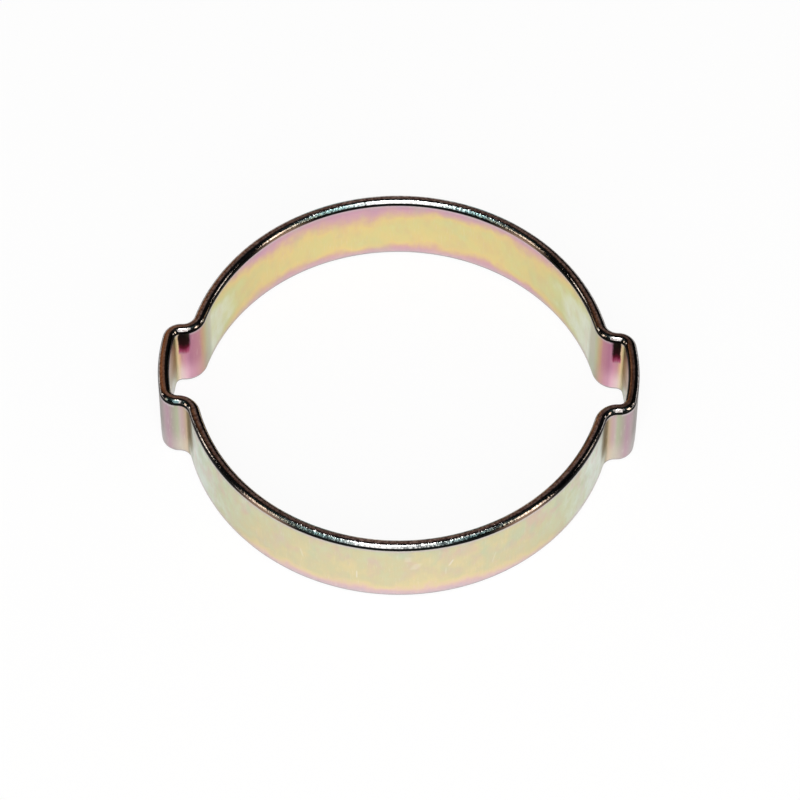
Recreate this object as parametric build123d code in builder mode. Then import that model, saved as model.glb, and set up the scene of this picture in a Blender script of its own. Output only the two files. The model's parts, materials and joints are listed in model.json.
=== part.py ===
"""Two-ear hose clamp: one closed ring of band steel with two ears folded out of it.

Units are millimetres. The ring lies on its rim, its axis is +Z and the ears are on +X and -X.
"""
import os

from build123d import *

os.makedirs("parts", exist_ok=True)

# The ring, as delivered and before its ears are pinched.
hose_diameter = 43.0
band_thickness = 1.2
band_width = 9.5

# Cutting and tumbling roll each rim over, further down the faces than across the thickness.
rim_roll_depth = 0.4
rim_roll_height = 0.6

# One ear, measured on the hose side of the band.
ear_foot_half_width = 4.05
ear_crown_half_width = 3.95
ear_corner_reach = 23.8
ear_crown_rise = 0.42
ear_foot_radius = 2.5
ear_corner_radius = 0.7

hose_radius = hose_diameter / 2
ear_foot_reach = (hose_radius**2 - ear_foot_half_width**2) ** 0.5
ear_crown_reach = ear_corner_reach + ear_crown_rise
half_thickness = band_thickness / 2
half_width = band_width / 2
half_wall = half_width - rim_roll_height
half_rim_flat = half_thickness - rim_roll_depth

# The middle of the band, drawn at half height: the hose side with a pocket for each ear,
# its bends rounded, and then moved out by half the thickness.
with BuildSketch(Plane.XY.offset(half_width)) as band_middle:
    Circle(hose_radius)
    with BuildLine() as ear_pocket:
        Line((0, ear_foot_half_width), (ear_foot_reach, ear_foot_half_width))
        Line((ear_foot_reach, ear_foot_half_width), (ear_corner_reach, ear_crown_half_width))
        ThreePointArc(
            (ear_corner_reach, ear_crown_half_width),
            (ear_crown_reach, 0),
            (ear_corner_reach, -ear_crown_half_width),
        )
        Line((ear_corner_reach, -ear_crown_half_width), (ear_foot_reach, -ear_foot_half_width))
        Line((ear_foot_reach, -ear_foot_half_width), (0, -ear_foot_half_width))
        Line((0, -ear_foot_half_width), (0, ear_foot_half_width))
    make_face()
    mirror(about=Plane.YZ)
    ear_feet = band_middle.vertices().filter_by(lambda point: abs(point.X) < hose_radius)
    fillet(ear_feet, radius=ear_foot_radius)
    pocket_corners = band_middle.vertices().group_by(lambda point: round(abs(point.X), 1))[-1]
    fillet(pocket_corners, radius=ear_corner_radius)
    offset(amount=half_thickness, kind=Kind.ARC)

band_line = band_middle.sketch.face().outer_wire()
section_plane = Plane(origin=band_line @ 0, x_dir=(0, 0, 1), z_dir=band_line % 0)

# The section of the strip, with X up the band and Y through it: flat walls, a narrow flat on
# each rim, and a rolled corner between them.
with BuildSketch(section_plane) as band_section:
    with BuildLine() as section_quarter:
        Line((0, half_thickness), (half_wall, half_thickness))
        EllipticalCenterArc(
            (half_wall, half_rim_flat),
            x_radius=rim_roll_height,
            y_radius=rim_roll_depth,
            start_angle=0,
            arc_size=90,
        )
        Line((half_width, half_rim_flat), (half_width, 0))
        mirror(about=Plane.XZ)
        mirror(about=Plane.YZ)
    make_face()

# The strip, bent round the ring and through both ears, and closed on itself.
with BuildPart() as clamp_band:
    sweep(sections=band_section.sketch, path=band_line, transition=Transition.RIGHT)

clamp_band.part.label = "clamp_band"
export_step(clamp_band.part, "parts/clamp_band.step")

print("band line mm", band_line.length)
print("section times line mm3", band_section.sketch.area * band_line.length)
print("volume mm3", clamp_band.part.volume)
print("size mm", clamp_band.part.bounding_box().size)
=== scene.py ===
"""Two-ear hose clamp in plated band steel, lying on its rim on a pale studio floor."""
import json
import math

import bpy
from mathutils import Matrix, Quaternion, Vector

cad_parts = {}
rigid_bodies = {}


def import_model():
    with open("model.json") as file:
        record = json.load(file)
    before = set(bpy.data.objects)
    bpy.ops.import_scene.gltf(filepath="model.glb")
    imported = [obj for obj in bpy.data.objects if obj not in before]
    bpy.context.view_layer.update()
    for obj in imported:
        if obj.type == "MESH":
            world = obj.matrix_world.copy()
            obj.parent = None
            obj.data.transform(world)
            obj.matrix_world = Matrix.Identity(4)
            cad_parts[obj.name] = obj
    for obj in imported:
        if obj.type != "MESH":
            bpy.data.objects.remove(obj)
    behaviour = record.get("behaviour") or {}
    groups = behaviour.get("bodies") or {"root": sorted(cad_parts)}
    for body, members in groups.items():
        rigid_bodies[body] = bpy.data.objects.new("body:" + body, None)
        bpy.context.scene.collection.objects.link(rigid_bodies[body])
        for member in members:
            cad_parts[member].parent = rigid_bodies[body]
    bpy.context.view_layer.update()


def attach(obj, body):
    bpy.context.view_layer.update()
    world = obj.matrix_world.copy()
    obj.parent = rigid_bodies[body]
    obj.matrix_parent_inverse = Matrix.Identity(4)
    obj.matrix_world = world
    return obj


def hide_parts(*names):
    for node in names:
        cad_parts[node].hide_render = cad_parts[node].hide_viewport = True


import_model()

MM = 0.001

# ---------------------------------------------------------------- the clamp's own sizes, in mm

HOSE_RADIUS = 21.5
BAND_THICKNESS = 1.2
BAND_WIDTH = 9.5
RIM_ROLL_DEPTH = 0.58
RIM_ROLL_HEIGHT = 0.6

EAR_FOOT_HALF_WIDTH = 4.05
EAR_CROWN_HALF_WIDTH = 3.95
EAR_CORNER_REACH = 23.8
EAR_CROWN_RISE = 0.42
EAR_FOOT_RADIUS = 2.5
EAR_CORNER_RADIUS = 0.7

# ---------------------------------------------------------------- how finely the band is meshed

ROLL_SEGMENTS = 9
RING_STEPS = 66
FOOT_STEPS = 14
CORNER_STEPS = 16
CROWN_STEPS = 10
# In mm: from each roll to the loop beside it, and how close corners may lie before they are joined.
LOOP_BESIDE_ROLL = 0.08
NEAR_MIRROR = 0.01
MIRROR_MERGE = 0.004
SEAM_MERGE = 0.002


# ---------------------------------------------------------------- bends of a quarter of the band

def set_out_the_bends():
    """Centre, turn and steps of each bend from the middle of the back to the middle of a crown."""
    foot = Vector((math.sqrt(HOSE_RADIUS**2 - EAR_FOOT_HALF_WIDTH**2), EAR_FOOT_HALF_WIDTH))
    corner = Vector((EAR_CORNER_REACH, EAR_CROWN_HALF_WIDTH))
    along_wall = (corner - foot).normalized()
    off_wall = Vector((-along_wall.y, along_wall.x))

    def on_a_circle(start, centre, radius):
        """Where a line along the ear's wall from start meets a circle, on its far side."""
        out = start - centre
        half = out.dot(along_wall)
        return start + along_wall * (math.sqrt(half**2 - out.length_squared + radius**2) - half)

    ring_centre = Vector((0.0, 0.0))
    beside_foot = foot + off_wall * EAR_FOOT_RADIUS
    foot_centre = on_a_circle(beside_foot, ring_centre, HOSE_RADIUS + EAR_FOOT_RADIUS)
    crown_radius = (EAR_CROWN_HALF_WIDTH**2 + EAR_CROWN_RISE**2) / (2 * EAR_CROWN_RISE)
    crown_centre = Vector((EAR_CORNER_REACH + EAR_CROWN_RISE - crown_radius, 0.0))
    inside_wall = foot - off_wall * EAR_CORNER_RADIUS
    corner_centre = on_a_circle(inside_wall, crown_centre, crown_radius - EAR_CORNER_RADIUS)

    leaving_ring = math.atan2(foot_centre.y, foot_centre.x)
    wall_lean = math.atan2(along_wall.y, along_wall.x)
    to_corner = corner_centre - crown_centre
    into_crown = math.atan2(to_corner.y, to_corner.x)
    wall_end = corner_centre + off_wall * EAR_CORNER_RADIUS
    wall_start = foot_centre - off_wall * EAR_FOOT_RADIUS
    # Turns are in radians, and clockwise is negative. The wall is straight, so it is a move.
    return {
        "ring": (ring_centre, -(math.pi / 2 - leaving_ring), RING_STEPS),
        "foot": (foot_centre, math.pi / 2 - (leaving_ring - wall_lean), FOOT_STEPS),
        "wall": wall_end - wall_start,
        "corner": (corner_centre, -(math.pi / 2 + wall_lean - into_crown), CORNER_STEPS),
        "crown": (crown_centre, -into_crown, CROWN_STEPS),
    }


# ---------------------------------------------------------------- modelling

def nothing_selected():
    for each in bpy.data.objects:
        each.select_set(False)
    bpy.context.view_layer.objects.active = None


def strip_section():
    """The section of the strip at the middle of the back: a plane with rolled corners."""
    nothing_selected()
    bpy.ops.mesh.primitive_plane_add(size=1, location=(0, 0, 0))
    band = bpy.context.object
    band.name = "plated_band"
    # The corners are rounded on a thicker strip, which is then squeezed, so each is a quarter ellipse.
    stretch = RIM_ROLL_HEIGHT / RIM_ROLL_DEPTH
    bpy.ops.object.mode_set(mode="EDIT")
    bpy.ops.mesh.select_all(action="SELECT")
    bpy.ops.transform.resize(value=(BAND_THICKNESS * stretch * MM, BAND_WIDTH * MM, 1))
    bpy.ops.mesh.bevel(
        affect="VERTICES", offset=RIM_ROLL_HEIGHT * MM, segments=ROLL_SEGMENTS, profile=0.5
    )
    bpy.ops.mesh.select_all(action="SELECT")
    bpy.ops.transform.resize(value=(1 / stretch, 1, 1))
    bpy.ops.mesh.delete(type="ONLY_FACE")
    bpy.ops.object.mode_set(mode="OBJECT")
    # Stand it up: the strip's width becomes height, its thickness runs out from the ring's axis.
    stand = Matrix(((0, 0, 1, 0), (1, 0, 0, 0), (0, 1, 0, 0), (0, 0, 0, 1)))
    place = Matrix.Translation((0, (HOSE_RADIUS + BAND_THICKNESS / 2) * MM, BAND_WIDTH / 2 * MM))
    band.matrix_world = place @ stand
    bpy.ops.object.transform_apply(location=True, rotation=True, scale=True)
    return band


def bend_strip(centre, turn, steps):
    """Carries the open end of the strip round one bend."""
    # The spin tool counts its angle clockwise.
    bpy.ops.mesh.spin(
        steps=steps, angle=-turn, center=(centre.x * MM, centre.y * MM, 0), axis=(0, 0, 1), dupli=False
    )


def mirror_both_ways(band):
    """Makes the whole band from its quarter, with no seam where the quarters meet."""
    for corner in band.data.vertices:
        if abs(corner.co.x) < NEAR_MIRROR * MM:
            corner.co.x = 0
        if abs(corner.co.y) < NEAR_MIRROR * MM:
            corner.co.y = 0
    other_quarters = band.modifiers.new("other_quarters", "MIRROR")
    other_quarters.use_axis = (True, True, False)
    other_quarters.use_clip = True
    other_quarters.merge_threshold = MIRROR_MERGE * MM
    bpy.ops.object.modifier_apply(modifier=other_quarters.name)
    bpy.ops.object.mode_set(mode="EDIT")
    bpy.ops.mesh.select_all(action="SELECT")
    bpy.ops.mesh.remove_doubles(threshold=SEAM_MERGE * MM)
    bpy.ops.mesh.normals_make_consistent(inside=False)
    bpy.ops.object.mode_set(mode="OBJECT")


def plated_band():
    """The strip bent round a quarter of the ring and half an ear, then mirrored both ways."""
    bends = set_out_the_bends()
    band = strip_section()
    bpy.ops.object.mode_set(mode="EDIT")
    bpy.ops.mesh.select_all(action="SELECT")
    bend_strip(*bends["ring"])
    bend_strip(*bends["foot"])
    wall = bends["wall"] * MM
    bpy.ops.mesh.extrude_edges_move(TRANSFORM_OT_translate={"value": (wall.x, wall.y, 0)})
    bend_strip(*bends["corner"])
    bend_strip(*bends["crown"])
    # Loops close to each roll keep the flat walls flat under smooth shading.
    loop_height = RIM_ROLL_HEIGHT + LOOP_BESIDE_ROLL
    for height in (loop_height, BAND_WIDTH / 2, BAND_WIDTH - loop_height):
        bpy.ops.mesh.select_all(action="SELECT")
        bpy.ops.mesh.bisect(plane_co=(0, 0, height * MM), plane_no=(0, 0, 1))
    bpy.ops.object.mode_set(mode="OBJECT")
    mirror_both_ways(band)
    bpy.ops.object.shade_smooth()
    return band


# ---------------------------------------------------------------- shader workbench

class Reading:
    """One value on its way through a material, with sums written as sums."""

    def __init__(self, bench, socket):
        self.bench = bench
        self.socket = socket

    def sum_with(self, operation, *others):
        return self.bench.node("ShaderNodeMath", {"operation": operation}, (self, *others)).out()

    def __add__(self, other):
        return self.sum_with("ADD", other)

    __radd__ = __add__

    def __mul__(self, other):
        return self.sum_with("MULTIPLY", other)

    __rmul__ = __mul__

    def __sub__(self, other):
        return self.sum_with("SUBTRACT", other)

    def __rsub__(self, other):
        return (self * -1) + other

    def __truediv__(self, other):
        return self.sum_with("DIVIDE", other)

    def size(self):
        return self.sum_with("ABSOLUTE")

    def least(self, other):
        return self.sum_with("MINIMUM", other)

    def most(self, other):
        return self.sum_with("MAXIMUM", other)

    def rise(self, low, high):
        """0 below low, 1 above high, eased between."""
        sockets = {"Value": self, "From Min": low, "From Max": high}
        return self.bench.node("ShaderNodeMapRange", {"interpolation_type": "SMOOTHSTEP"}, sockets).out()

    def fall(self, low, high):
        """1 below low, 0 above high, eased between."""
        return 1 - self.rise(low, high)

    def hump(self, middle, reach):
        """1 at the middle, falling to 0 at reach either side."""
        return (self - middle).size().fall(0, reach)

    def colours(self, stops):
        """The colour that a run of stops has at this value, from 0 to 1."""
        return self.bench.node("ShaderNodeValToRGB", {"stops": stops}, (self,)).out("Color")


class Placed:
    """A node that is on the bench."""

    def __init__(self, bench, node):
        self.bench = bench
        self.node = node

    def out(self, name=0):
        if isinstance(name, int):
            return Reading(self.bench, self.node.outputs[name])
        for socket in self.node.outputs:
            if socket.name == name and socket.enabled:
                return Reading(self.bench, socket)
        raise KeyError(name)


class Bench:
    """Places nodes in one material's or world's tree."""

    def __init__(self, owner):
        owner.use_nodes = True
        self.tree = owner.node_tree
        self.tree.nodes.clear()

    def node(self, kind, settings=None, sockets=()):
        placed = self.tree.nodes.new(kind)
        for name, setting in (settings or {}).items():
            if name == "stops":
                lay_stops(placed.color_ramp, setting)
            else:
                setattr(placed, name, setting)
        pairs = sockets.items() if isinstance(sockets, dict) else enumerate(sockets)
        for name, value in pairs:
            if isinstance(name, int):
                socket = placed.inputs[name]
            else:
                socket = next(each for each in placed.inputs if each.name == name and each.enabled)
            if isinstance(value, Reading):
                self.tree.links.new(value.socket, socket)
            else:
                socket.default_value = value
        return Placed(self, placed)

    def blend_colours(self, share, first, second):
        settings = {"data_type": "RGBA", "blend_type": "MIX", "clamp_factor": True}
        sockets = {"Factor": share, "A": first, "B": second}
        return self.node("ShaderNodeMix", settings, sockets).out("Result")

    def lay_over(self, colour, *layers):
        """Lays tones over a colour, one after another, each with its share from 0 to 1."""
        for share, tone in layers:
            colour = self.blend_colours(share, colour, tone)
        return colour

    def mottle(self, where, scale, detail, rough):
        """Noise from 0 to 1, mostly near a half."""
        sockets = {"Vector": where, "Scale": scale, "Detail": detail, "Roughness": rough}
        return self.node("ShaderNodeTexNoise", {}, sockets).out("Fac")

    def gather(self, x, y, z):
        return self.node("ShaderNodeCombineXYZ", {}, (x, y, z)).out()

    def split(self, vector):
        parts = self.node("ShaderNodeSeparateXYZ", {}, (vector,))
        return [parts.out(name) for name in "XYZ"]


def lay_stops(ramp, stops):
    """Gives a new colour ramp its stops, in place of the two that it comes with."""
    ramp.elements.remove(ramp.elements[-1])
    (first_place, first_colour), *others = stops
    ramp.elements[0].position = first_place
    ramp.elements[0].color = first_colour
    for place, colour in others:
        ramp.elements.new(place).color = colour


def opaque(red, green, blue):
    """A colour in the shader's own numbers, with nothing showing through."""
    return (red, green, blue, 1.0)


def shade(red, green, blue):
    """A colour as it is seen on a screen, 0 to 255, in the shader's own numbers."""
    straight = []
    for part in (red / 255, green / 255, blue / 255):
        straight.append(part / 12.92 if part <= 0.04045 else ((part + 0.055) / 1.055) ** 2.4)
    return opaque(*straight)


# ---------------------------------------------------------------- tones of the film

# Film of passivated zinc on the ring, from the thinnest to the thickest, inside and outside.
FILM_INSIDE = (
    (0.00, shade(248, 255, 244)),
    (0.18, shade(234, 240, 216)),
    (0.34, shade(222, 223, 168)),
    (0.46, shade(227, 216, 155)),
    (0.60, shade(235, 214, 152)),
    (0.69, shade(231, 204, 160)),
    (0.77, shade(226, 190, 172)),
    (0.86, shade(219, 176, 187)),
    (0.94, shade(212, 166, 190)),
    (1.00, shade(208, 172, 192)),
)
FILM_OUTSIDE = (
    (0.00, shade(246, 255, 250)),
    (0.16, shade(229, 239, 226)),
    (0.32, shade(215, 219, 186)),
    (0.46, shade(218, 211, 172)),
    (0.58, shade(230, 216, 170)),
    (0.70, shade(234, 212, 182)),
    (0.80, shade(231, 202, 194)),
    (0.90, shade(222, 194, 199)),
    (1.00, shade(212, 198, 206)),
)
ROSE_INSIDE = shade(219, 184, 160)
GREEN_INSIDE = shade(204, 210, 168)
ROSE_OUTSIDE = shade(222, 192, 186)
GREEN_OUTSIDE = shade(199, 213, 184)
LILAC_FOOT = shade(220, 198, 204)
GREY_UNDER_RIM = shade(214, 206, 208)
PALE_STREAK = shade(236, 232, 226)
SCUFFED_FILM = shade(246, 242, 236)

# Colours along an ear from EAR_FOOT to EAR_TIP, by distance in x from the middle of the ring, in mm:
# in the upper half of the band and in the lower half. They are the film's colours with painted light and
# shade in them: the olive outside the foot bend is a painted reflection of the ear's shaded wall, the
# upper outside of the crown is painted darker as painted shade, and the lower half inside each pocket
# is painted lighter, as painted light against the pocket's shade.
EAR_FOOT = 20.4
EAR_TIP = 25.4
EAR_OUTSIDE_HIGH = (
    (21.35, shade(206, 212, 198)),
    (21.55, shade(180, 184, 164)),
    (21.72, shade(156, 150, 124)),
    (21.90, shade(146, 133, 96)),
    (22.10, shade(152, 133, 98)),
    (22.25, shade(204, 182, 150)),
    (22.45, shade(204, 178, 163)),
    (22.72, shade(203, 176, 176)),
    (22.95, shade(202, 186, 180)),
    (23.22, shade(184, 190, 162)),
    (23.70, shade(180, 172, 160)),
    (24.20, shade(190, 158, 172)),
    (24.60, shade(192, 172, 176)),
    (25.00, shade(168, 163, 160)),
    (25.40, shade(156, 152, 150)),
)
EAR_OUTSIDE_LOW = (
    (21.35, shade(214, 222, 213)),
    (21.90, shade(222, 227, 214)),
    (22.10, shade(186, 178, 154)),
    (22.30, shade(222, 205, 182)),
    (22.95, shade(213, 205, 190)),
    (23.70, shade(200, 186, 182)),
    (24.20, shade(199, 170, 181)),
    (24.60, shade(200, 184, 188)),
    (25.00, shade(200, 197, 196)),
)
EAR_INSIDE_HIGH = (
    (20.50, shade(210, 208, 188)),
    (20.72, shade(202, 204, 170)),
    (20.95, shade(208, 188, 146)),
    (21.20, shade(210, 168, 142)),
    (21.45, shade(202, 146, 156)),
    (22.30, shade(196, 134, 160)),
    (22.60, shade(214, 152, 180)),
    (22.85, shade(232, 166, 190)),
    (23.20, shade(234, 178, 186)),
    (23.45, shade(236, 196, 160)),
    (23.60, shade(244, 214, 170)),
    (23.75, shade(206, 192, 142)),
    (23.88, shade(170, 158, 108)),
    (24.05, shade(184, 172, 130)),
    (24.20, shade(212, 206, 186)),
)
EAR_INSIDE_LOW = (
    (20.50, shade(206, 213, 190)),
    (20.85, shade(200, 186, 164)),
    (21.20, shade(218, 176, 164)),
    (21.90, shade(222, 168, 186)),
    (22.30, shade(226, 174, 196)),
    (22.70, shade(248, 204, 220)),
    (23.30, shade(252, 228, 226)),
    (23.55, shade(248, 230, 206)),
    (23.80, shade(216, 208, 168)),
    (23.98, shade(224, 230, 208)),
    (24.15, shade(246, 252, 250)),
)

# Painted reflection of shade at the top of each ear's pocket, from its lower edge upwards.
POCKET_SHADE_FOOT = 5.0
POCKET_SHADE_HEIGHT = 3.4
POCKET_SHADE_REFLECTION = (
    (0.00, shade(222, 166, 184)),
    (0.22, shade(188, 84, 122)),
    (0.42, shade(110, 24, 50)),
    (0.60, shade(46, 14, 18)),
    (1.00, shade(26, 17, 14)),
)
OLIVE_ON_POCKET_SHADE = shade(120, 128, 84)

# Scuffs on the front of the band: middle in x and z, half width, half height, lean, and strength.
SCUFFS = (
    (-3.82, 3.8, 0.10, 0.85, 0.0, 0.55),
    (5.95, 5.7, 0.15, 0.65, 0.42, 0.50),
    (5.43, 4.3, 0.07, 0.75, 0.0, 0.35),
    (2.30, 5.8, 0.60, 0.70, 0.5, 0.24),
    (1.50, 7.2, 0.50, 0.60, 0.0, 0.22),
    (-9.60, 5.0, 0.12, 0.90, -0.2, 0.30),
    (10.4, 4.2, 0.10, 1.10, 0.2, 0.28),
)

# ---------------------------------------------------------------- tones of the bare rims, with painted reflections and shade

STEEL_AT_MIDDLE = shade(226, 224, 222)
STEEL_BEYOND = shade(202, 198, 194)
DULL_STEEL = shade(146, 142, 140)
TEAL_REFLECTION_STEEL = shade(140, 186, 186)
BROWN_PITS = shade(92, 66, 60)
DARK_REFLECTION_FRONT = shade(34, 44, 46)
PAINTED_SHADE_RIGHT_FRONT = shade(70, 62, 58)
TEAL_REFLECTION_LEFT_WALL = shade(66, 100, 102)
BROWN_REFLECTION_RIGHT_CROWN = shade(96, 80, 68)
TAN_REFLECTION_LEFT_CROWN = shade(204, 172, 138)
# Painted reflections in the line at the foot of each roll: the dark room above, a warm highlight under the
# side lamps, the pale floor below.
DARK_REFLECTION_LINE = shade(20, 22, 21)
WARM_HIGHLIGHT_LINE = shade(146, 120, 102)
PALE_FLOOR_REFLECTION_LINE = shade(192, 184, 186)


# ---------------------------------------------------------------- the band's surface

# Soft edges of the masks, from where each begins to where it is complete. The first two are in mm.
EAR_EDGE = (6.7, 7.6)
MIDDLE_LINE = (-1.0, 1.0)
FACING_OUT = (-0.02, 0.02)
ROLL_TILT = (0.03, 0.10)
FLAT_TILT = (0.85, 0.95)

# How far noises are read from one another, in mm, so that they don't look alike.
BLOOM_SHIFT = 40
PIT_SHIFT = 20


class BandSurface:
    """Where a point of the band lies, in mm, with the masks and noises that its finishes share."""

    def __init__(self, bench):
        coordinates = bench.node("ShaderNodeTexCoord")
        x, y, z = (part * (1 / MM) for part in bench.split(coordinates.out("Object")))
        slope_x, slope_y, slope_z = bench.split(coordinates.out("Normal"))
        self.x, self.y, self.z = x, y, z
        self.leftward = x * -1
        self.reach = x.size()
        self.depth = y.size()
        self.below_top = BAND_WIDTH - RIM_ROLL_HEIGHT - z
        self.above_foot = z - RIM_ROLL_HEIGHT
        # From 0 at the middle of the back and of the front to 1 at the ears.
        from_back = bench.node("ShaderNodeMath", {"operation": "ARCTAN2"}, (x, y)).out().size()
        self.from_middle = from_back.least(math.pi - from_back) / (math.pi / 2)

        self.ear = self.depth.fall(*EAR_EDGE)
        self.right_side = x.rise(*MIDDLE_LINE)
        self.outside = (x * slope_x + y * slope_y).rise(*FACING_OUT)
        # Tilt is 0 on the walls and 1 on the flats of the rims.
        self.tilt = slope_z.size()
        self.roll = self.tilt.rise(*ROLL_TILT)
        self.on_top = self.tilt.rise(*FLAT_TILT)
        self.off_top = 1 - self.on_top

        # Where z is shrunk, a noise is drawn out upward.
        self.place = bench.gather(x, y, z)
        self.upright = bench.gather(x, y, z * 0.12)
        squat = bench.gather(x, y, z * 0.7)
        rose_place = bench.gather(x + BLOOM_SHIFT, y, z * 0.6)
        green_place = bench.gather(x - BLOOM_SHIFT, y, z * 0.6)
        fleck_place = bench.gather(x, y, z * 0.2)
        # Swings either side of 0: wide clouds, smaller patches and upright streaks.
        self.cloud = bench.mottle(self.place, scale=0.24, detail=2.0, rough=0.5) - 0.5
        self.patch = bench.mottle(squat, scale=0.75, detail=3.0, rough=0.6) - 0.5
        self.streak = bench.mottle(self.upright, scale=3.0, detail=3.0, rough=0.6) - 0.5
        # From 0 to 1: blooms of rose and of green in the film, and flecks on the rims.
        self.rose = bench.mottle(rose_place, scale=0.55, detail=2.5, rough=0.6).rise(0.44, 0.74)
        self.green = bench.mottle(green_place, scale=0.46, detail=2.0, rough=0.6).rise(0.48, 0.74)
        self.fleck = bench.mottle(fleck_place, scale=3.4, detail=3.0, rough=0.62)


# ---------------------------------------------------------------- film on the ring

FILM_AT_MIDDLE = 0.50
EDGE_WIDTH = 2.3
# Where the edge under the top is widest, in mm left of the middle, and how far off that ends.
WIDEST_EDGE = (7.0, 13.0)


def thick_edges(at):
    """How far a point is in the edge under the top, widest at the left, and in that above the foot."""
    top_width = EDGE_WIDTH + at.leftward.hump(*WIDEST_EDGE) * EDGE_WIDTH + at.cloud * 3.0 + at.patch * 0.6
    low_width = EDGE_WIDTH + at.cloud * 2.0 + at.patch * 0.8
    top_edge = (at.below_top / top_width).fall(-0.2, 1.2)
    low_edge = at.above_foot.fall(-0.2, low_width)
    return top_edge, low_edge


def film_inside(bench, at, top_edge, low_edge):
    """Thick at the middle of the back and front and thin at the ears, a little sooner on the right."""
    toward_ear = at.from_middle + at.x.rise(0.0, 12.0) * 0.08
    film = FILM_AT_MIDDLE - toward_ear.rise(0.45, 0.95) * 0.46
    film = film + at.from_middle.fall(0.55, 0.95) * top_edge * 0.50
    film = film + at.from_middle.fall(0.45, 0.85) * low_edge * 0.41
    film = film + at.cloud * 0.36 + at.patch * 0.20 + at.streak * 0.072
    return bench.lay_over(
        film.colours(FILM_INSIDE), (at.rose * 0.22, ROSE_INSIDE), (at.green * 0.25, GREEN_INSIDE)
    )


def film_outside(bench, at, top_edge, low_edge):
    """Like the inside, but a little thinner under the top edge, and with more blooms high up."""
    film = (FILM_AT_MIDDLE - at.from_middle.rise(0.30, 0.90) * 0.42) * 0.98
    film = film + at.from_middle.fall(0.30, 0.70) * (low_edge * 0.43 - top_edge * 0.06)
    film = film + at.cloud * 0.24 + at.patch * 0.34 + at.streak * 0.108
    high_up = at.z.rise(1.0, 7.5)
    return bench.lay_over(
        film.colours(FILM_OUTSIDE),
        (at.rose * (0.20 + high_up * 0.40), ROSE_OUTSIDE),
        (at.green * high_up * 0.65, GREEN_OUTSIDE),
    )


def ring_film(bench, at):
    """The film inside and outside, both with a lilac foot."""
    edges = thick_edges(at)
    film = bench.blend_colours(at.outside, film_inside(bench, at, *edges), film_outside(bench, at, *edges))
    return bench.lay_over(film, (at.above_foot.fall(0.0, 0.9) * 0.5, LILAC_FOOT))


# ---------------------------------------------------------------- film on the ears, with painted light and shade

# Soft edges, in mm: heights in z, and distances from the middle of the ring.
LOW_TO_HIGH = (1.4, 4.6)
POCKET_FOOT = (21.4, 22.2)
POCKET_SHADE_AT_FOOT = (22.12, 22.42)
POCKET_SHADE_AT_CROWN = (23.44, 23.60)
POCKET_SHADE_BELOW = (5.0, 5.5)
OLIVE_ABOVE = (7.6, 8.2)
# How much sooner the colours start inside the left ear, how much later than that inside the right
# one, and how much narrower the right ear's painted pocket shade is, in mm.
SOONER_AT_LEFT = 0.12
LATER_AT_RIGHT = 0.34
RIGHT_POCKET_SHADE_NARROWER = 0.36


def down_the_ear(bench, at, along, low_stops, high_stops):
    """The film's colour along an ear, from the stops of its lower half to those of its upper half."""
    low_colour, high_colour = (
        along.colours([((place - EAR_FOOT) / (EAR_TIP - EAR_FOOT), colour) for place, colour in stops])
        for stops in (low_stops, high_stops)
    )
    return bench.blend_colours(at.z.rise(*LOW_TO_HIGH), low_colour, high_colour)


def painted_pocket_shade(at):
    """Where the pocket of an ear has its painted shade, between its foot and its crown. The right one is
    narrower.
    """
    ragged = at.reach + at.patch * 0.5 + at.streak * 0.25
    foot_side = ragged - at.right_side * RIGHT_POCKET_SHADE_NARROWER
    return foot_side.rise(*POCKET_SHADE_AT_FOOT) * ragged.fall(*POCKET_SHADE_AT_CROWN) * at.z.rise(*POCKET_SHADE_BELOW)


def ear_film_and_painted_shade(bench, at, pocket_shade):
    """The film on the ears follows their bends, from the foot up to the crown, with painted light and
    shade.
    """
    along_ear = (at.reach + at.patch * 0.16 - EAR_FOOT) / (EAR_TIP - EAR_FOOT)
    ear_outside = down_the_ear(bench, at, along_ear, EAR_OUTSIDE_LOW, EAR_OUTSIDE_HIGH)
    # Near the foot of a pocket the colours start nearer the middle at the left, farther at the right.
    sooner = (SOONER_AT_LEFT - at.right_side * LATER_AT_RIGHT) * at.reach.fall(*POCKET_FOOT)
    along_pocket = along_ear + sooner / (EAR_TIP - EAR_FOOT)
    ear_inside = down_the_ear(bench, at, along_pocket, EAR_INSIDE_LOW, EAR_INSIDE_HIGH)
    # Painted reflection of each pocket's shadowed floor: near black at the top, crimson and pink below,
    # olive flecks high up.
    pocket_shade_colour = ((at.z + at.streak * 1.6 - POCKET_SHADE_FOOT) / POCKET_SHADE_HEIGHT).colours(POCKET_SHADE_REFLECTION)
    pocket_shade_colour = bench.lay_over(pocket_shade_colour, (at.green * at.z.rise(*OLIVE_ABOVE) * 0.30, OLIVE_ON_POCKET_SHADE))
    ear_inside = bench.blend_colours(pocket_shade, ear_inside, pocket_shade_colour)
    return bench.blend_colours(at.outside, ear_inside, ear_outside)


# ---------------------------------------------------------------- walls and rims

# Soft edges along y, in mm, for what is on the front alone.
SCUFFED_FRONT = (-2.0, 0.0)
DARK_REFLECTION_FRONT_EDGE = (-3.0, -1.0)
RIGHT_FRONT_EDGE = (-8.5, -7.5)
LEFT_WALL_EDGE = (-4.0, -2.0)
# The bright highlight on the front rim: its middle in x and how far off that it ends, in mm.
FRONT_HIGHLIGHT = (-2.1, 3.4)
# Soft edge from an ear's foot to its crown, in mm from the middle of the ring.
ONTO_CROWN = (21.0, 24.0)
# Tilt of the roll up to which the painted reflection line at its foot reaches.
REFLECTION_LINE_TILT = (0.46, 0.54)


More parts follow.
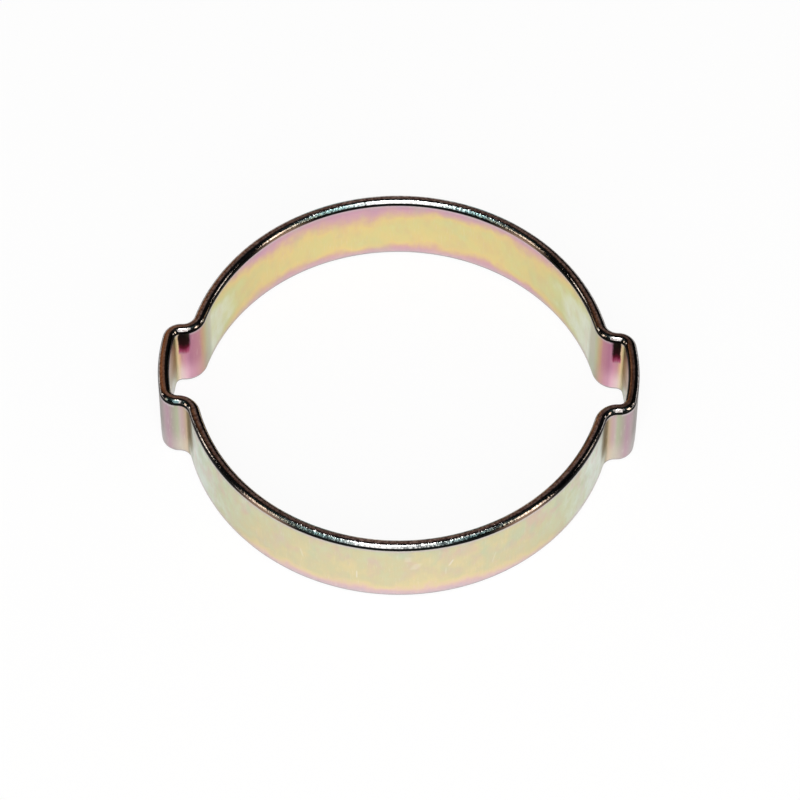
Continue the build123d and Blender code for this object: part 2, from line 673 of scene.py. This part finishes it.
def scuffs(at):
    """How far the film is scuffed, on the front of the band alone."""
    scuffed = 0
    for middle, height, half_width, half_height, lean, strength in SCUFFS:
        across = (at.x - middle - (at.z - height) * lean).size().fall(half_width * 0.3, half_width)
        up_down = (at.z - height).size().fall(half_height * 0.5, half_height)
        scuffed = across * up_down * strength + scuffed
    return scuffed * at.outside * at.y.fall(*SCUFFED_FRONT)


def plated_walls(bench, at):
    """Film, with painted light and shade on the ears, a grey line under the upper rim, faint drawn streaks
    and scuffs.
    """
    # Painted shade in each pocket, a painted reflection of its shadowed floor; the grey line and streaks
    # stay off it.
    pocket_shade = painted_pocket_shade(at)
    film = bench.blend_colours(at.ear, ring_film(bench, at), ear_film_and_painted_shade(bench, at, pocket_shade))
    under_rim = at.below_top.fall(0.10, 0.55) * (0.5 + at.outside * 0.25)
    fine = bench.mottle(at.upright, scale=6.0, detail=2.0, rough=0.6)
    drawn = (fine - 0.55).rise(0.0, 0.25) * (0.16 + at.outside * 0.12)
    return bench.lay_over(
        film,
        (under_rim * (1 - pocket_shade), GREY_UNDER_RIM),
        (drawn * (1 - pocket_shade), PALE_STREAK),
        (scuffs(at), SCUFFED_FILM),
    )


def rim_steel_and_painted_reflections(bench, at):
    """Bare steel of the rims: grained, pitted and duller towards the ears, with painted reflections: teal
    in places, dark beside the front highlight and at the right front, tan and brown on the crowns.
    """
    grain = bench.mottle(at.place, scale=2.6, detail=4.0, rough=0.7)
    pit_place = bench.gather(at.x, at.y, at.z - PIT_SHIFT)
    pits = bench.mottle(pit_place, scale=3.6, detail=3.0, rough=0.7).rise(0.42, 0.62)
    # Beside the middle the steel is painted teal, a painted reflection tint for the highlight flecks
    # there.
    cool = at.from_middle.hump(0.24, 0.17) * at.off_top
    pitted = pits * (at.on_top * 0.70).most(at.from_middle.rise(0.30, 0.45) * 0.50)
    # On the front the steel is painted dark to either side of the highlight, a painted dark reflection
    # broken by bright flecks.
    beside_highlight = (1 - at.x.hump(*FRONT_HIGHLIGHT)) * at.from_middle.fall(0.30, 0.36)
    beside_highlight = beside_highlight * at.y.fall(*DARK_REFLECTION_FRONT_EDGE)
    broken = (0.50 + at.x.rise(0.0, 4.0) * 0.16) * (0.55 + at.fleck.rise(0.40, 0.60) * 0.9)
    # Right of the front the rolls are painted darker, painted shade that dims the side lamp's reflection
    # there.
    right_front = at.x.rise(15.0, 16.5) * at.depth.fall(14.0, 15.5) * at.y.fall(*RIGHT_FRONT_EDGE)
    # On the front wall of the left ear the rolls are painted dim teal, a painted reflection that dims the
    # highlight there.
    left_wall = at.leftward.rise(22.8, 23.1) * at.leftward.fall(24.2, 24.5) * at.y.fall(*LEFT_WALL_EDGE)

    bright = bench.blend_colours(at.from_middle.rise(0.05, 0.28), STEEL_AT_MIDDLE, STEEL_BEYOND)
    steel = bench.blend_colours(grain.rise(0.32, 0.66), DULL_STEEL, bright)
    return bench.lay_over(
        steel,
        (cool * 0.75, TEAL_REFLECTION_STEEL),
        (pitted, BROWN_PITS),
        (beside_highlight * at.off_top * broken, DARK_REFLECTION_FRONT),
        (right_front * at.off_top * 0.65, PAINTED_SHADE_RIGHT_FRONT),
        (left_wall * at.off_top * 0.85, TEAL_REFLECTION_LEFT_WALL),
        # The crown flats are painted tan at the left and brown at the right, a painted reflection of the
        # warm room.
        (at.x.rise(*ONTO_CROWN) * at.on_top * 0.60, BROWN_REFLECTION_RIGHT_CROWN),
        (at.leftward.rise(*ONTO_CROWN) * at.on_top * 0.50, TAN_REFLECTION_LEFT_CROWN),
    )


def rims_with_painted_reflections(bench, at):
    """Bare steel, with a line of painted reflection where each roll meets the wall: dark above, pale
    below.
    """
    # The painted line is wider on the way to the ears, inside the crowns, and outside right of the middle.
    wider = at.from_middle.rise(0.50, 0.57) * at.from_middle.fall(0.76, 0.80) * 0.12
    wider = wider + at.reach.rise(23.9, 24.1) * (1 - at.outside) * 0.30
    wider = wider + at.from_middle.hump(0.28, 0.13) * at.x.rise(0.0, 2.0) * at.outside * 0.16
    line = (at.tilt - wider).fall(*REFLECTION_LINE_TILT)
    # Under the warm highlights the painted upper line is a painted warm highlight too.
    upper_reflection_line = bench.blend_colours(at.from_middle.hump(0.41, 0.13), DARK_REFLECTION_LINE, WARM_HIGHLIGHT_LINE)
    reflection_line_colour = bench.blend_colours(at.z.rise(4.2, 5.2), PALE_FLOOR_REFLECTION_LINE, upper_reflection_line)
    return bench.blend_colours(line, rim_steel_and_painted_reflections(bench, at), reflection_line_colour)


# ---------------------------------------------------------------- yellow passivated zinc, with painted light and shade

# In mm.
ROLL_FOOT = (0.0, 0.10)
DENT_DEPTH = 0.06
# What metal reflects at a glancing angle.
EDGE_TINT = opaque(0.72, 0.71, 0.70)


def yellow_zinc_with_painted_light():
    """One metal for the whole band: film on its walls, bare steel on its rims, both with painted light and
    shade.
    """
    finish = bpy.data.materials.new("yellow_zinc_with_painted_light")
    bench = Bench(finish)
    at = BandSurface(bench)
    # The rims take over where the surface tilts, and from the upper roll's foot on.
    rim = at.roll.most(at.below_top.fall(*ROLL_FOOT))
    colour = bench.blend_colours(rim, plated_walls(bench, at), rims_with_painted_reflections(bench, at))

    roughness = 0.34 + at.patch * 0.10 - at.roll * 0.25
    # The rims are beaten with small dents, most a little way from the middle and least at the ears.
    beaten = 0.7 + at.from_middle.hump(0.25, 0.15) * 0.5 - at.from_middle.rise(0.30, 0.50) * 0.4
    dents = (at.fleck - 0.5) * at.roll * beaten
    dents = dents + at.streak * (1 - at.roll) * 0.12 + at.patch * 0.08
    bumps = {"Strength": 1.0, "Distance": DENT_DEPTH * MM, "Height": dents}
    bump = bench.node("ShaderNodeBump", {}, bumps)

    metal = bench.node("ShaderNodeBsdfPrincipled", {}, {
        "Base Color": colour,
        "Metallic": 1.0,
        "Roughness": roughness,
        "Normal": bump.out(),
        "Specular Tint": EDGE_TINT,
    })
    bench.node("ShaderNodeOutputMaterial", {}, {"Surface": metal.out()})
    return finish


# ---------------------------------------------------------------- studio floor

WHITE = opaque(1, 1, 1)
FLOOR_PAINT = opaque(0.9, 0.9, 0.9)
FLOOR_GLOW_TO_CAMERA = 0.9
FLOOR_GLOW_IN_METAL = 0.35
FLOOR_WIDTH = 3.0


def pale_floor():
    """Matt paint that takes the clamp's shadow, with a glow that keeps it white to the camera."""
    finish = bpy.data.materials.new("pale_floor")
    bench = Bench(finish)
    paths = bench.node("ShaderNodeLightPath")
    matt = bench.node("ShaderNodeBsdfDiffuse", {}, {"Color": FLOOR_PAINT})
    white = bench.node("ShaderNodeEmission", {}, {"Color": WHITE, "Strength": 1.0})
    in_metal = paths.out("Is Glossy Ray").most(paths.out("Is Transmission Ray"))
    glow = (paths.out("Is Camera Ray") * FLOOR_GLOW_TO_CAMERA).most(in_metal * FLOOR_GLOW_IN_METAL)
    mixed = bench.node("ShaderNodeMixShader", {}, (glow, matt.out(), white.out()))
    bench.node("ShaderNodeOutputMaterial", {}, {"Surface": mixed.out()})
    return finish


def studio_floor():
    nothing_selected()
    bpy.ops.mesh.primitive_plane_add(size=FLOOR_WIDTH, location=(0, 0, 0))
    floor = bpy.context.object
    floor.name = "studio_floor"
    floor.data.materials.append(pale_floor())


# ---------------------------------------------------------------- studio air

DIM_ROOM = opaque(0.006, 0.007, 0.008)
COOL_GLOW = opaque(0.05, 0.088, 0.092)
WALL_BEHIND = opaque(0.25, 0.165, 0.14)
WALL_AT_LEFT = opaque(0.33, 0.15, 0.075)
AIR_ON_MATT = 0.30


def room_seen_in_metal(bench):
    """A dim room, with a warm wall behind and to the left, and a cool glow round the front lamp."""
    direction = bench.node("ShaderNodeTexCoord").out("Generated")
    right, back, up = bench.split(direction)
    wall = back.rise(0.20, 0.50) * right.fall(0.10, 0.32) * up.fall(0.90, 0.97)
    warm = bench.blend_colours((right * -1).rise(0.1, 0.5), WALL_BEHIND, WALL_AT_LEFT)
    glow = (back * -1).rise(-0.05, 0.3) * right.size().fall(0.45, 0.75) * up.rise(0.1, 0.5)
    return bench.lay_over(DIM_ROOM, (glow, COOL_GLOW), (wall, warm))


def studio_air():
    """White to the camera, a soft light on matt things, and a room to be seen in metal."""
    world = bpy.data.worlds.new("studio_air")
    bpy.context.scene.world = world
    bench = Bench(world)
    paths = bench.node("ShaderNodeLightPath")

    def air(colour, strength):
        return bench.node("ShaderNodeBackground", {}, {"Color": colour, "Strength": strength}).out()

    for_metal = air(room_seen_in_metal(bench), 1.0)
    for_matt = air(WHITE, AIR_ON_MATT)
    for_camera = air(WHITE, 1.0)
    lit = bench.node("ShaderNodeMixShader", {}, (paths.out("Is Glossy Ray"), for_matt, for_metal))
    whole = bench.node("ShaderNodeMixShader", {}, (paths.out("Is Camera Ray"), lit.out(), for_camera))
    bench.node("ShaderNodeOutputWorld", {}, {"Surface": whole.out()})


# ---------------------------------------------------------------- studio lamps

LAMP_DISTANCE = 0.60
LEFT = -1
RIGHT = 1
NEUTRAL = (1, 1, 1)
AMBER = (1, 0.83, 0.66)
PALE_AMBER = (1, 0.90, 0.80)


def softbox(name, azimuth, elevation, width, height, radiance, tint):
    """A soft rectangular lamp aimed at the clamp. Azimuth 0 is the front, 90 the right."""
    turn = math.radians(azimuth)
    lift = math.radians(elevation)
    toward = Vector((math.sin(turn) * math.cos(lift), -math.cos(turn) * math.cos(lift), math.sin(lift)))
    lamp = bpy.data.lights.new(name, "AREA")
    lamp.shape = "RECTANGLE"
    lamp.size = width
    lamp.size_y = height
    lamp.energy = radiance * math.pi * width * height
    lamp.color = tint
    stand = bpy.data.objects.new(name, lamp)
    bpy.context.scene.collection.objects.link(stand)
    stand.location = toward * LAMP_DISTANCE
    stand.rotation_euler = (-toward).to_track_quat("-Z", "Y").to_euler()


def studio_lamps():
    """A small key lamp high in front, a large weak one below it, and two tall lamps at each side."""
    softbox("key_softbox", 0, 64, width=0.16, height=0.16, radiance=16, tint=NEUTRAL)
    softbox("front_softbox", 0, 36, width=0.50, height=0.80, radiance=2.1, tint=NEUTRAL)
    for side, radiance in ((LEFT, 2.9), (RIGHT, 5.0)):
        softbox("near_side_lamp", 60 * side, 17, width=0.11, height=0.36, radiance=radiance, tint=AMBER)
        softbox("far_side_lamp", 94 * side, 17, width=0.07, height=0.18, radiance=3.2, tint=PALE_AMBER)


# ---------------------------------------------------------------- camera

PICTURE_PIXELS = 800
LENS_PIXELS = 4840.9
SENSOR_WIDTH = 36
CAMERA_AZIMUTH = 1.06704
CAMERA_ELEVATION = 55.78
CAMERA_ROLL = 0.31409
# In hose radii.
CAMERA_DISTANCE = 24.15666
CAMERA_AIM = (0.00523, 0.10100, 0)
# In metres.
CLIP_START = 0.01
CLIP_END = 20


def camera():
    azimuth = math.radians(CAMERA_AZIMUTH)
    elevation = math.radians(CAMERA_ELEVATION)
    level = math.cos(elevation)
    back = Vector((math.sin(azimuth) * level, -math.cos(azimuth) * level, math.sin(elevation)))
    place = Vector(CAMERA_AIM) * HOSE_RADIUS + back * (CAMERA_DISTANCE * HOSE_RADIUS)
    lens = bpy.data.cameras.new("camera")
    lens.sensor_width = SENSOR_WIDTH
    lens.lens = LENS_PIXELS / PICTURE_PIXELS * SENSOR_WIDTH
    lens.clip_start = CLIP_START
    lens.clip_end = CLIP_END
    eye = bpy.data.objects.new("camera", lens)
    bpy.context.scene.collection.objects.link(eye)
    eye.location = place * MM
    roll = Quaternion((0, 0, 1), math.radians(CAMERA_ROLL))
    eye.rotation_euler = ((-back).to_track_quat("-Z", "Y") @ roll).to_euler()
    bpy.context.scene.camera = eye


# ---------------------------------------------------------------- the set-up

band = plated_band()
band.data.materials.clear()
band.data.materials.append(yellow_zinc_with_painted_light())
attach(band, "root")
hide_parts("clamp_band")

studio_floor()
studio_air()
studio_lamps()
camera()
bpy.context.scene.view_settings.view_transform = "Standard"
